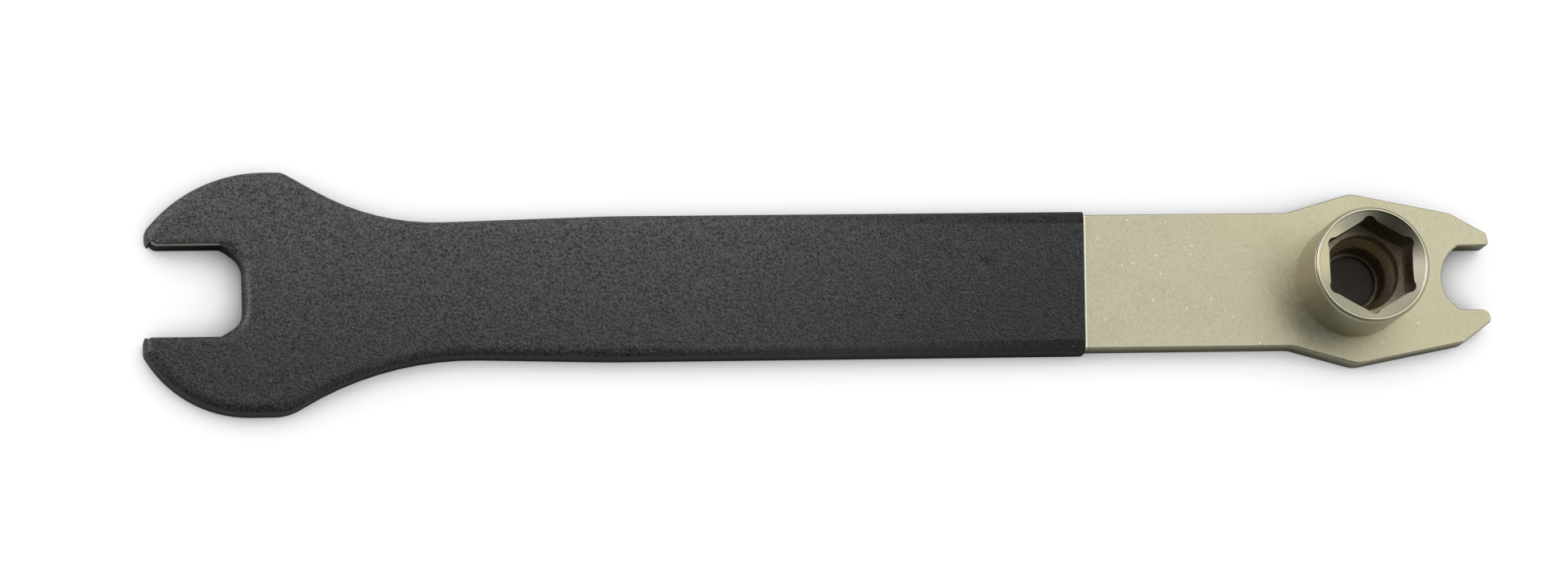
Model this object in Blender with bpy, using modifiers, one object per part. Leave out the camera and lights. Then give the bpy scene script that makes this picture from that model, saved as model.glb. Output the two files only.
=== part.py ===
# Pedal wrench: a flat steel bar with an open end, a hex socket and a two-prong fork.
# The open end and the handle are dipped in soft black plastic.
# Metres, +Z up. The tool lies on its back and the socket points up. X runs along the bar from
# the open end to the fork, and the origin is on the ground under the middle of the tool.

import math

import bmesh
import bpy
from mathutils import Vector

# Overall
OVERALL_LENGTH = 0.2252      # coated jaw tips to bare fork tips
SEAT_GAP = 0.0002            # left between pieces that touch

# Steel bar
BAR_THICKNESS = 0.0050
BAR_WIDTH = 0.0226
BAR_EDGE_RADIUS = 0.0003     # sheared edge, broken by tumbling

# Open end, with its lengths along the bar measured from the steel jaw tips
JAW_OPENING = 0.0151         # a 15 mm flat with running clearance
JAW_DEPTH = 0.0163
JAW_TIP_WIDTH = 0.0024
THROAT_RADIUS = 0.0046
NECK_NARROWING = 0.0021      # how much slimmer the neck is than the bar
NECK_TAPER_END = 0.0760      # tips to where the bar has its full width
NECK_TAPER_RADIUS = 0.2000
TIP_CORNER_RADIUS = 0.0006

# The two jaws differ a little: the upper one (+Y) is shorter, slimmer and sharper shouldered
UPPER_TIP_SETBACK = 0.0005
UPPER_REACH = 0.0191         # middle of the bar to the side of the head
UPPER_NOSE_LENGTH = 0.0083   # tips to where the lines of nose and side meet
UPPER_NOSE_RADIUS = 0.0240
UPPER_SIDE_END = 0.0222      # tips to the shoulder corner
UPPER_SHOULDER_RADIUS = 0.0024
UPPER_HEAD_LENGTH = 0.0374   # tips to where the shoulder slope meets the neck
UPPER_NECK_RADIUS = 0.0400
UPPER_MOUTH_RADIUS = 0.0015  # inner corner of the tip, which guides the flats in
LOWER_REACH = 0.0197
LOWER_NOSE_LENGTH = 0.0060
LOWER_NOSE_RADIUS = 0.0190
LOWER_SIDE_END = 0.0227
LOWER_SHOULDER_RADIUS = 0.0080
LOWER_HEAD_LENGTH = 0.0386
LOWER_NECK_RADIUS = 0.0560
LOWER_MOUTH_RADIUS = 0.0006

# Flared end, with its lengths along the bar measured from the socket's axis
SOCKET_TO_TIP = 0.0235       # socket axis to the fork tips
FLARE_START = 0.0110         # socket axis back to the start of the flare
FLARE_START_RADIUS = 0.0040
FLARE_WIDTH = 0.0289
FLARE_RADIUS = 0.0040
UPPER_FORK_SHOULDER = 0.0170  # socket axis forward to the fork's shoulder
LOWER_FORK_SHOULDER = 0.0184
FORK_SHOULDER_WIDTH = 0.0219
FORK_SHOULDER_RADIUS = 0.0020
PRONG_END_WIDTH = 0.0150     # across the outer corners of both prongs
PRONG_END_SLANT = 0.0004
PRONG_CORNER_RADIUS = 0.0006
LOWER_PRONG_INNER_RADIUS = 0.0018  # the lower prong's tip is worn round on the notch's side
FORK_OPENING = 0.0108
NOTCH_RADIUS = 0.0062
NOTCH_DEPTH = 0.0085         # fork tips to the bottom of the round notch

# Socket
SOCKET_DIAMETER = 0.0195
SOCKET_HEIGHT = 0.0139       # above the bar's face
RIM_EDGE_RADIUS = 0.0006
LEAD_IN_DIAMETER = 0.0179
LEAD_IN_SLOPE = 0.45         # depth of the lead-in cone for each unit of radius
HEX_ACROSS_FLATS = 0.0141    # a 14 mm bolt head with clearance
HEX_DEPTH = 0.0086
CORNER_RELIEF_REACH = 0.0001  # how far the broach reaches past each sharp corner of the hexagon
CORNER_RELIEF_RADIUS = 0.00085
CORNER_RELIEF_TURN = math.radians(20)  # its sides stand this much steeper than the flats
CORNER_RELIEF_BLEND = 0.0015  # rounding between its sides and the flats
RELIEF_DIAMETER = 0.0128     # turned before the hexagon is broached
RELIEF_DEPTH = 0.0116        # below the rim
RELIEF_FLOOR_SLOPE = 1.0     # drop of the relief's floor towards the bore
BORE_DIAMETER = 0.0101
SHANK_DIAMETER = 0.0140      # pressed into the bar and flush with its back
LIP_WIDTH = 0.00045          # ring left at the back end of the bore
LIP_HEIGHT = 0.0006
TURNED_STEPS = 96

# Dipped coating
COATING_THICKNESS = 0.00065  # stands this far out from the steel
COATING_EDGE_RADIUS = 0.0009
COATING_END = 0.0459         # socket axis back to where the coating stops
COATING_END_SLANT = 0.0006   # its dip line runs this much nearer the socket on the upper side
BARE_JAW_MARGIN = 0.0003     # bare edge left beside and behind each jaw flat

# Fineness of curves
ARC_STEP = math.radians(7.5)
EDGE_STEPS = 2

# Derived places
bar_bottom = COATING_THICKNESS
bar_top = bar_bottom + BAR_THICKNESS
coating_top = bar_top + COATING_THICKNESS
coating_tip_x = -OVERALL_LENGTH / 2
jaw_tip_x = coating_tip_x + COATING_THICKNESS
fork_tip_x = OVERALL_LENGTH / 2
socket_x = fork_tip_x - SOCKET_TO_TIP
coating_end_x = socket_x - COATING_END
throat_start_x = jaw_tip_x + JAW_DEPTH - THROAT_RADIUS
rim_z = bar_top + SOCKET_HEIGHT
neck_width = BAR_WIDTH - NECK_NARROWING


def make_collection(name):
    collection = bpy.data.collections.new(name)
    bpy.context.scene.collection.children.link(collection)
    return collection


def make_material(name, color, roughness, metallic):
    material = bpy.data.materials.new(name)
    material.use_nodes = True
    shader = material.node_tree.nodes["Principled BSDF"]
    shader.inputs["Base Color"].default_value = (*color, 1.0)
    shader.inputs["Roughness"].default_value = roughness
    shader.inputs["Metallic"].default_value = metallic
    return material


# Outlines are closed lists of corners (x, y, fillet radius), counter-clockwise.

def neck_corners(end_x, head_length, neck_radius):
    # One side of the handle, from end_x to the start of the head.
    return [
        (end_x, BAR_WIDTH / 2, 0.0),
        (jaw_tip_x + NECK_TAPER_END, BAR_WIDTH / 2, NECK_TAPER_RADIUS),
        (jaw_tip_x + head_length, neck_width / 2, neck_radius),
    ]


def jaw_corners(tip_x, reach, side_end, shoulder_radius, nose_length, nose_radius, mouth_radius):
    # One side of the open end, from the head's shoulder round to the corner of the throat.
    half_jaw = JAW_OPENING / 2
    return [
        (jaw_tip_x + side_end, reach, shoulder_radius),
        (jaw_tip_x + nose_length, reach, nose_radius),
        (tip_x, half_jaw + JAW_TIP_WIDTH, TIP_CORNER_RADIUS),
        (tip_x, half_jaw, mouth_radius),
        (jaw_tip_x + JAW_DEPTH, half_jaw, THROAT_RADIUS),
    ]


def fork_corners(shoulder, inner_radius):
    # One side of the flared end, from the middle of the notch back to the bar.
    centre_x = fork_tip_x - NOTCH_DEPTH + NOTCH_RADIUS
    half_opening = min(FORK_OPENING / 2, NOTCH_RADIUS)
    sweep = math.asin(half_opening / NOTCH_RADIUS)
    count = max(2, math.ceil(sweep / ARC_STEP))
    notch = []
    for step in range(1, count + 1):
        angle = math.pi - sweep * step / count
        x = centre_x + NOTCH_RADIUS * math.cos(angle)
        y = NOTCH_RADIUS * math.sin(angle)
        notch.append((x, y, 0.0))
    prong = [
        (fork_tip_x, half_opening, inner_radius),
        (fork_tip_x - PRONG_END_SLANT, PRONG_END_WIDTH / 2, PRONG_CORNER_RADIUS),
        (socket_x + shoulder, FORK_SHOULDER_WIDTH / 2, FORK_SHOULDER_RADIUS),
        (socket_x, FLARE_WIDTH / 2, FLARE_RADIUS),
        (socket_x - FLARE_START, BAR_WIDTH / 2, FLARE_START_RADIUS),
    ]
    return notch + prong


def across(side):
    # The same corners on the other side of the bar, in the opposite order.
    return [(x, -y, radius) for x, y, radius in reversed(side)]


def handle_corners(end_x, slant):
    upper = neck_corners(end_x + slant, UPPER_HEAD_LENGTH, UPPER_NECK_RADIUS)
    upper += jaw_corners(
        jaw_tip_x + UPPER_TIP_SETBACK, UPPER_REACH, UPPER_SIDE_END, UPPER_SHOULDER_RADIUS,
        UPPER_NOSE_LENGTH, UPPER_NOSE_RADIUS, UPPER_MOUTH_RADIUS)
    lower = neck_corners(end_x, LOWER_HEAD_LENGTH, LOWER_NECK_RADIUS)
    lower += jaw_corners(
        jaw_tip_x, LOWER_REACH, LOWER_SIDE_END, LOWER_SHOULDER_RADIUS,
        LOWER_NOSE_LENGTH, LOWER_NOSE_RADIUS, LOWER_MOUTH_RADIUS)
    return upper + across(lower)


def bar_corners():
    notch_bottom = (fork_tip_x - NOTCH_DEPTH, 0.0, 0.0)
    handle = handle_corners(socket_x - FLARE_START, 0.0)[1:-1]
    upper = fork_corners(UPPER_FORK_SHOULDER, PRONG_CORNER_RADIUS)
    lower = across(fork_corners(LOWER_FORK_SHOULDER, LOWER_PRONG_INNER_RADIUS))
    return [notch_bottom] + upper + handle + lower


def hexagon_corners():
    # The broached hexagon, one corner pointing across the bar. Each corner ends in a rounded relief.
    sharp = HEX_ACROSS_FLATS / math.sqrt(3)
    half_tip = math.pi / 3 - CORNER_RELIEF_TURN
    point = sharp + CORNER_RELIEF_REACH + CORNER_RELIEF_RADIUS * (1 / math.sin(half_tip) - 1)
    flat_slope = math.tan(math.pi / 3)
    side_slope = math.tan(half_tip)
    along = (sharp * flat_slope - point * side_slope) / (flat_slope - side_slope)
    beside = (sharp - along) * flat_slope
    corners = []
    for side in range(6):
        cos_a = math.cos(math.pi / 2 + math.pi / 3 * side)
        sin_a = math.sin(math.pi / 2 + math.pi / 3 * side)
        for out, across_it, radius in (
                (along, -beside, CORNER_RELIEF_BLEND), (point, 0.0, CORNER_RELIEF_RADIUS),
                (along, beside, CORNER_RELIEF_BLEND)):
            corners.append((out * cos_a - across_it * sin_a, out * sin_a + across_it * cos_a, radius))
    return corners


def grow_corners(corners, distance):
    # Moves every side of an outline outwards. Outer fillets widen by it and inner ones tighten.
    grown = []
    for index, (x, y, radius) in enumerate(corners):
        before = Vector(corners[index - 1][:2])
        after = Vector(corners[(index + 1) % len(corners)][:2])
        point = Vector((x, y))
        into = (point - before).normalized()
        out = (after - point).normalized()
        turn = into.x * out.y - into.y * out.x
        normal = Vector((into.y, -into.x)) + Vector((out.y, -out.x))
        normal = normal * (2.0 / normal.length_squared)
        moved = point + normal * distance
        change = distance if turn > 0 else -distance
        fillet = max(radius + change, 0.0) if radius > 0 else 0.0
        grown.append((moved.x, moved.y, fillet))
    return grown


def round_corners(corners):
    # Turns corners into points, each fillet an arc. Fillets that would meet share their side.
    points = [Vector(corner[:2]) for corner in corners]
    count = len(points)
    sides = [(points[(i + 1) % count] - points[i]).length for i in range(count)]
    turns = []
    reaches = []
    for i in range(count):
        into = (points[i] - points[i - 1]).normalized()
        out = (points[(i + 1) % count] - points[i]).normalized()
        turn = math.atan2(into.x * out.y - into.y * out.x, into.dot(out))
        turns.append(turn)
        reaches.append(corners[i][2] * math.tan(abs(turn) / 2))
    outline = []
    for i in range(count):
        room = 1.0
        for side, other in ((i - 1, i - 1), (i, (i + 1) % count)):
            wanted = reaches[i] + reaches[other]
            if wanted > 0:
                room = min(room, 0.98 * sides[side] / wanted)
        reach = reaches[i] * room
        if reach < 1e-6:
            outline.append(points[i])
            continue
        into = (points[i] - points[i - 1]).normalized()
        radius = reach / math.tan(abs(turns[i]) / 2)
        side_sign = 1.0 if turns[i] > 0 else -1.0
        start = points[i] - into * reach
        centre = start + Vector((-into.y, into.x)) * radius * side_sign
        spoke = start - centre
        steps = max(2, math.ceil(abs(turns[i]) / ARC_STEP))
        for step in range(steps + 1):
            angle = turns[i] * step / steps
            cos_a = math.cos(angle)
            sin_a = math.sin(angle)
            turned = Vector((spoke.x * cos_a - spoke.y * sin_a, spoke.x * sin_a + spoke.y * cos_a))
            outline.append(centre + turned)
    return outline


def slab_from_outline(name, corners, bottom, top, edge_radius, collection):
    # A flat curve filled on both sides, with its edges rounded, made into a welded mesh.
    outline = round_corners(corners)
    curve = bpy.data.curves.new(name + "_outline", "CURVE")
    curve.dimensions = "2D"
    curve.fill_mode = "BOTH"
    curve.extrude = (top - bottom) / 2 - edge_radius
    curve.bevel_depth = edge_radius
    curve.bevel_resolution = EDGE_STEPS if edge_radius > 0 else 0
    curve.offset = -edge_radius
    spline = curve.splines.new("POLY")
    spline.points.add(len(outline) - 1)
    for target, point in zip(spline.points, outline):
        target.co = (point.x, point.y, 0.0, 1.0)
    spline.use_cyclic_u = True
    guide = bpy.data.objects.new(name + "_outline", curve)
    guide.location.z = (bottom + top) / 2
    collection.objects.link(guide)
    bpy.context.view_layer.update()
    graph = bpy.context.evaluated_depsgraph_get()
    mesh = bpy.data.meshes.new_from_object(guide.evaluated_get(graph))
    mesh.name = name
    work = bmesh.new()
    work.from_mesh(mesh)
    bmesh.ops.remove_doubles(work, verts=work.verts, dist=1e-6)
    bmesh.ops.recalc_face_normals(work, faces=work.faces)
    work.to_mesh(mesh)
    work.free()
    slab = bpy.data.objects.new(name, mesh)
    slab.matrix_world = guide.matrix_world.copy()
    collection.objects.link(slab)
    bpy.data.objects.remove(guide)
    return slab


def make_cutter(cutter):
    cutter.hide_render = True
    cutter.display_type = "WIRE"
    return cutter


def cut(target, cutter):
    modifier = target.modifiers.new("cut_" + cutter.name, "BOOLEAN")
    modifier.operation = "DIFFERENCE"
    modifier.solver = "EXACT"
    modifier.object = make_cutter(cutter)


def smooth(target):
    target.data.shade_smooth()
    target.data.set_sharp_from_angle(angle=math.radians(30))


def add_cylinder(name, radius, bottom, top, collection):
    bpy.ops.mesh.primitive_cylinder_add(
        vertices=TURNED_STEPS, radius=radius, depth=top - bottom,
        location=(socket_x, 0.0, (bottom + top) / 2))
    cylinder = bpy.context.object
    cylinder.name = name
    bpy.context.collection.objects.unlink(cylinder)
    collection.objects.link(cylinder)
    return cylinder


def add_box(name, low, high, collection):
    bpy.ops.mesh.primitive_cube_add(size=1.0, location=(Vector(low) + Vector(high)) / 2)
    box = bpy.context.object
    box.name = name
    box.scale = Vector(high) - Vector(low)
    bpy.context.collection.objects.unlink(box)
    collection.objects.link(box)
    return box


# The bar: one stamped and ground piece, with the socket's hole through its flared end.

def build_bar(parts, cutters):
    bar = slab_from_outline(
        "wrench_bar", bar_corners(), bar_bottom, bar_top, BAR_EDGE_RADIUS, parts)
    hole_radius = SHANK_DIAMETER / 2 + SEAT_GAP
    hole = add_cylinder(
        "socket_hole", hole_radius, bar_bottom - BAR_THICKNESS, bar_top + BAR_THICKNESS, cutters)
    cut(bar, hole)
    smooth(bar)
    bar.data.materials.append(make_material("satin_nickel", (0.53, 0.50, 0.34), 0.38, 0.9))
    return bar


# The socket: a turned blank with a stepped bore, then a hexagon broached into its mouth.

def socket_profile():
    # Radius and height, down the outer side, in under the shoulder and up the bore.
    outer = SOCKET_DIAMETER / 2
    shank = SHANK_DIAMETER / 2
    bore = BORE_DIAMETER / 2
    lip = bore - LIP_WIDTH
    relief = RELIEF_DIAMETER / 2
    mouth = LEAD_IN_DIAMETER / 2
    relief_z = rim_z - RELIEF_DEPTH
    cone_z = rim_z - (mouth - relief) * LEAD_IN_SLOPE
    profile = []
    for step in range(EDGE_STEPS * 2 + 1):
        angle = math.pi / 2 * (1 - step / (EDGE_STEPS * 2))
        r = outer - RIM_EDGE_RADIUS + RIM_EDGE_RADIUS * math.cos(angle)
        z = rim_z - RIM_EDGE_RADIUS + RIM_EDGE_RADIUS * math.sin(angle)
        profile.append((r, z))
    profile += [
        (outer, bar_top + SEAT_GAP),
        (shank, bar_top + SEAT_GAP),
        (shank, bar_bottom),
        (lip, bar_bottom),
        (lip, bar_bottom + LIP_HEIGHT),
        (bore, bar_bottom + LIP_HEIGHT),
        (bore, relief_z - (relief - bore) * RELIEF_FLOOR_SLOPE),
        (relief, relief_z),
        (relief, cone_z),
        (mouth, rim_z),
    ]
    return profile


def build_socket(parts, cutters):
    mesh = bpy.data.meshes.new("hex_socket")
    points = [(r, 0.0, z) for r, z in socket_profile()]
    edges = [(i, (i + 1) % len(points)) for i in range(len(points))]
    mesh.from_pydata(points, edges, [])
    socket = bpy.data.objects.new("hex_socket", mesh)
    socket.location.x = socket_x
    parts.objects.link(socket)
    screw = socket.modifiers.new("turn", "SCREW")
    screw.axis = "Z"
    screw.angle = math.tau
    screw.steps = TURNED_STEPS
    screw.render_steps = TURNED_STEPS
    screw.use_merge_vertices = True
    screw.merge_threshold = 0.00001
    broach = slab_from_outline(
        "hex_broach", hexagon_corners(), rim_z - HEX_DEPTH, rim_z + HEX_DEPTH, 0.0, cutters)
    broach.location.x = socket_x
    cut(socket, broach)
    socket.data.materials.append(make_material("satin_nickel_turned", (0.53, 0.50, 0.36), 0.3, 0.9))
    return socket


# The coating: a dipped skin over the open end and the handle, wiped off the jaw flats.

def build_coating(parts, cutters):
    inner_corners = handle_corners(coating_end_x - COATING_THICKNESS, COATING_END_SLANT)
    outer_corners = grow_corners(inner_corners, COATING_THICKNESS)
    coating = slab_from_outline(
        "handle_coating", outer_corners, 0.0, coating_top, COATING_EDGE_RADIUS, parts)
    past_end_x = coating_end_x + BAR_WIDTH
    steel = slab_from_outline(
        "coated_steel", grow_corners(handle_corners(past_end_x, 0.0), SEAT_GAP),
        bar_bottom - SEAT_GAP, bar_top + SEAT_GAP, 0.0, cutters)
    cut(coating, steel)
    half_trim = JAW_OPENING / 2 + BARE_JAW_MARGIN
    jaw_trim = add_box(
        "jaw_trim", (coating_tip_x - BAR_THICKNESS, -half_trim, -BAR_THICKNESS),
        (throat_start_x + BARE_JAW_MARGIN, half_trim, coating_top + BAR_THICKNESS), cutters)
    cut(coating, jaw_trim)
    smooth(coating)
    coating.data.materials.append(make_material("dipped_plastic", (0.056, 0.056, 0.048), 0.6, 0.0))
    return coating


def main():
    for old in list(bpy.data.objects):
        bpy.data.objects.remove(old)
    parts = make_collection("pedal_wrench")
    cutters = make_collection("cutters")
    build_bar(parts, cutters)
    build_socket(parts, cutters)
    build_coating(parts, cutters)


main()
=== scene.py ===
# Pedal wrench on a white sweep, seen from above and a little from the left.
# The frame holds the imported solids. This script makes finer surfaces in the same places, in metres.
import math

import bmesh
import bpy
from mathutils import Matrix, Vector


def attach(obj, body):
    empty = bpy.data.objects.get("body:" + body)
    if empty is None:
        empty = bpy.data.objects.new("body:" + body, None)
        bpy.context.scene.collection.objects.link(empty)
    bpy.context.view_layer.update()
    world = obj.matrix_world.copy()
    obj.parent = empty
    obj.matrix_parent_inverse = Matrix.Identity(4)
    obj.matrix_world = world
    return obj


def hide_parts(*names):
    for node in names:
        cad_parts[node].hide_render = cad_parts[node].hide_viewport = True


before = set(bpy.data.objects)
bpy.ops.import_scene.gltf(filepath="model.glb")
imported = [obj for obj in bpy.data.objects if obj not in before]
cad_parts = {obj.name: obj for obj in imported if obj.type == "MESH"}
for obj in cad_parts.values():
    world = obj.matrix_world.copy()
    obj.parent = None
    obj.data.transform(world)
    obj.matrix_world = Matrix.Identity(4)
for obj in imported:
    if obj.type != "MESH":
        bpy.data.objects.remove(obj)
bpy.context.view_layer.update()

scene = bpy.context.scene
scene.view_settings.view_transform = "Standard"
print("frame loaded:", ", ".join(sorted(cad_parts)))

mmPerMetre = 1000
mixA, mixB, mixed = 6, 7, 2         # a Mix node's two colour inputs and its colour result, by number
noiseLow, noiseHigh = 0.3, 0.7      # nearly all of a noise texture lies between these


# Colours, nodes and finished meshes

def linear(hexColour):
    # a colour as picked on screen, turned to the linear values that Blender mixes in
    channels = [int(hexColour[i:i + 2], 16) / 255 for i in (0, 2, 4)]
    return tuple(c / 12.92 if c <= 0.04045 else ((c + 0.055) / 1.055) ** 2.4 for c in channels) + (1.0,)


def addNode(tree, kind, settings, inputs):
    # settings are the node's own properties, inputs are values or sockets of other nodes
    node = tree.nodes.new(kind)
    for name, value in settings.items():
        setattr(node, name, value)
    for name, value in inputs.items():
        if isinstance(value, bpy.types.NodeSocket):
            tree.links.new(value, node.inputs[name])
        else:
            node.inputs[name].default_value = value
    return node


def newMaterial(name):
    material = bpy.data.materials.new(name)
    material.use_nodes = True
    material.node_tree.nodes.clear()
    return material, material.node_tree


def newObject(name, mesh):
    piece = bpy.data.objects.new(name, mesh)
    scene.collection.objects.link(piece)
    return piece


def objectFrom(work, name):
    mesh = bpy.data.meshes.new(name)
    work.to_mesh(mesh)
    work.free()
    return newObject(name, mesh)


def bakeModifiers(piece):
    # the evaluated shape becomes a plain mesh
    bpy.context.view_layer.update()
    graph = bpy.context.evaluated_depsgraph_get()
    finished = bpy.data.meshes.new_from_object(piece.evaluated_get(graph))
    finished.name = piece.name
    old = piece.data
    piece.modifiers.clear()
    piece.data = finished
    bpy.data.meshes.remove(old)


def cutAway(piece, cutter):
    modifier = piece.modifiers.new("cut", "BOOLEAN")
    modifier.operation = "DIFFERENCE"
    modifier.solver = "EXACT"
    modifier.object = cutter
    bakeModifiers(piece)
    bpy.data.objects.remove(cutter)


# The tool's outline, as corners (x, y, fillet), counter-clockwise

bar = {
    "bottom": 0.00065, "top": 0.00565,      # the coat lifts the steel off the table
    "halfWidth": 0.0113, "edgeRadius": 0.00028, "edgeSteps": 4,
    "forkTip": 0.1126, "socketX": 0.0891,
    "flareStart": 0.0781, "flareStartRadius": 0.0040, "halfFlare": 0.01445, "flareRadius": 0.0040,
    "upperShoulder": 0.1061, "lowerShoulder": 0.1075, "halfShoulder": 0.01095, "shoulderRadius": 0.0020,
    "halfProng": 0.0075, "prongSlant": 0.0004, "prongRadius": 0.0006, "wornProngRadius": 0.0018,
    "halfFork": 0.0054, "notchRadius": 0.0062, "notchDepth": 0.0085,
    "holeRadius": 0.00702, "holeSides": 160, "drillLength": 0.02, "drillMiddle": 0.003,
}

jaws = {
    "tip": -0.11195, "upperSetback": 0.0005, "tipWidth": 0.0024, "tipRadius": 0.0006,
    "halfGap": 0.00755, "depth": 0.0163, "throatRadius": 0.0046,
    "taperEnd": 0.0760, "taperRadius": 0.2, "halfNeck": 0.01025,
    "upper": {"reach": 0.0191, "noseLength": 0.0083, "noseRadius": 0.0240, "sideEnd": 0.0222,
              "shoulderRadius": 0.0024, "headLength": 0.0374, "neckRadius": 0.0400, "mouthRadius": 0.0015,
              "bareEdge": 0.00030},
    "lower": {"reach": 0.0197, "noseLength": 0.0060, "noseRadius": 0.0190, "sideEnd": 0.0227,
              "shoulderRadius": 0.0080, "headLength": 0.0386, "neckRadius": 0.0560, "mouthRadius": 0.0006,
              "bareEdge": 0.00004},
    "sideLean": 0.3,                        # a face whose normal rises less than this is a side
}

plate = {
    "arcStep": math.radians(4), "fewestSteps": 2, "filletShare": 0.98, "flatStrip": 0.00005,
    "mergeWithin": 1e-7, "dropUnder": 1e-8,
}


def headSide(side, setback, endX):
    # one side of the handle and its jaw, from the far end round to the throat
    tip = jaws["tip"]
    gap = jaws["halfGap"]
    return [
        (endX, bar["halfWidth"], 0.0),
        (tip + jaws["taperEnd"], bar["halfWidth"], jaws["taperRadius"]),
        (tip + side["headLength"], jaws["halfNeck"], side["neckRadius"]),
        (tip + side["sideEnd"], side["reach"], side["shoulderRadius"]),
        (tip + side["noseLength"], side["reach"], side["noseRadius"]),
        (tip + setback, gap + jaws["tipWidth"], jaws["tipRadius"]),
        (tip + setback, gap, side["mouthRadius"]),
        (tip + jaws["depth"], gap, jaws["throatRadius"]),
    ]


def forkSide(shoulderX, innerRadius):
    # one side of the flared end, from the middle of the notch back to the bar
    r = bar["notchRadius"]
    centreX = bar["forkTip"] - bar["notchDepth"] + r
    sweep = math.asin(bar["halfFork"] / r)
    steps = math.ceil(sweep / plate["arcStep"])
    angles = [math.pi - sweep * step / steps for step in range(1, steps + 1)]
    return [(centreX + r * math.cos(a), r * math.sin(a), 0.0) for a in angles] + [
        (bar["forkTip"], bar["halfFork"], innerRadius),
        (bar["forkTip"] - bar["prongSlant"], bar["halfProng"], bar["prongRadius"]),
        (shoulderX, bar["halfShoulder"], bar["shoulderRadius"]),
        (bar["socketX"], bar["halfFlare"], bar["flareRadius"]),
        (bar["flareStart"], bar["halfWidth"], bar["flareStartRadius"]),
    ]


def mirrored(side):
    return [(x, -y, radius) for x, y, radius in reversed(side)]


def handleOutline(endX):
    upper = headSide(jaws["upper"], jaws["upperSetback"], endX)
    return upper + mirrored(headSide(jaws["lower"], 0.0, endX))


def barOutline():
    notchBottom = [(bar["forkTip"] - bar["notchDepth"], 0.0, 0.0)]
    upper = forkSide(bar["upperShoulder"], bar["prongRadius"])
    lower = mirrored(forkSide(bar["lowerShoulder"], bar["wornProngRadius"]))
    return notchBottom + upper + handleOutline(bar["flareStart"])[1:-1] + lower


def pushedOut(before, here, after, distance):
    # a corner moved so that both its sides go out by distance, and how far it turns to the left
    into = (here - before).normalized()
    out = (after - here).normalized()
    outwards = Vector((into.y + out.y, -into.x - out.x))
    moved = here + outwards * (2 * distance / outwards.length_squared)
    return moved, math.atan2(into.x * out.y - into.y * out.x, into.dot(out))


def outlineRing(corners, inset, z):
    # The outline moved inwards by inset. Each fillet keeps its number of points, so rings line up.
    count = len(corners)
    base = [Vector(corner[:2]) for corner in corners]
    dirs = [(base[i] - base[i - 1]).normalized() for i in range(count)]
    points, turns, reaches = [], [], []
    for i in range(count):
        moved, turn = pushedOut(base[i - 1], base[i], base[(i + 1) % count], -inset)
        radius = corners[i][2]
        if radius > 0:
            radius = max(radius - inset if turn > 0 else radius + inset, 0.0)
        points.append(moved)
        turns.append(turn)
        reaches.append(radius * math.tan(abs(turn) / 2))
    sides = [(points[(i + 1) % count] - points[i]).length for i in range(count)]
    ring = []
    for i in range(count):
        if corners[i][2] == 0:
            ring.append((*points[i], z))
            continue
        room = 1.0      # fillets that would meet on a short side are all made smaller
        for length, other in ((sides[i - 1], reaches[i - 1]), (sides[i], reaches[(i + 1) % count])):
            if reaches[i] + other > 0:
                room = min(room, plate["filletShare"] * length / (reaches[i] + other))
        reach = reaches[i] * room
        radius = reach / math.tan(abs(turns[i]) / 2)
        start = points[i] - dirs[i] * reach
        spoke = Vector((dirs[i].y, -dirs[i].x)) * radius * (1 if turns[i] > 0 else -1)
        steps = max(plate["fewestSteps"], math.ceil(abs(turns[i]) / plate["arcStep"]))
        for step in range(steps + 1):
            angle = turns[i] * step / steps
            swung = Vector((spoke.x * math.cos(angle) - spoke.y * math.sin(angle),
                            spoke.x * math.sin(angle) + spoke.y * math.cos(angle)))
            ring.append((*(start - spoke + swung), z))
    return ring


def loftedPlate(name, corners, bottom, top, edgeWidth=0.0, edgeDrop=0.0, edgeSteps=0, edgePower=2.0):
    # A plate with square edges, or rounded ones. Power 2 is a round edge, and a higher one runs into the
    # flat more softly, as a dipped skin does. A thin flat strip inside it keeps the big faces' shading flat.
    profile = [(0.0, bottom), (0.0, top)]
    if edgeWidth > 0:
        profile = [(edgeWidth + plate["flatStrip"], bottom)]
        for step in range(edgeSteps + 1):
            angle = math.pi / 2 * step / edgeSteps
            reach = math.sin(angle) ** (2 / edgePower)
            rise = max(math.cos(angle), 0.0) ** (2 / edgePower)
            profile.append((edgeWidth * (1 - reach), bottom + edgeDrop * (1 - rise)))
        profile += [(inset, top + bottom - z) for inset, z in reversed(profile)]
    work = bmesh.new()
    rings = [[work.verts.new(p) for p in outlineRing(corners, inset, z)] for inset, z in profile]
    for low, high in zip(rings, rings[1:]):
        for i in range(len(low)):
            j = (i + 1) % len(low)
            work.faces.new((low[i], low[j], high[j], high[i])).smooth = edgeWidth > 0
    work.faces.new(rings[-1])
    work.faces.new(list(reversed(rings[0])))
    bmesh.ops.remove_doubles(work, verts=work.verts, dist=plate["mergeWithin"])
    bmesh.ops.dissolve_degenerate(work, edges=work.edges, dist=plate["dropUnder"])
    return objectFrom(work, name)


# Specks that several finishes share

speck = {"smallest": 0.4, "core": 0.5}      # the least radius, and the part of a speck that is solid


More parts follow.
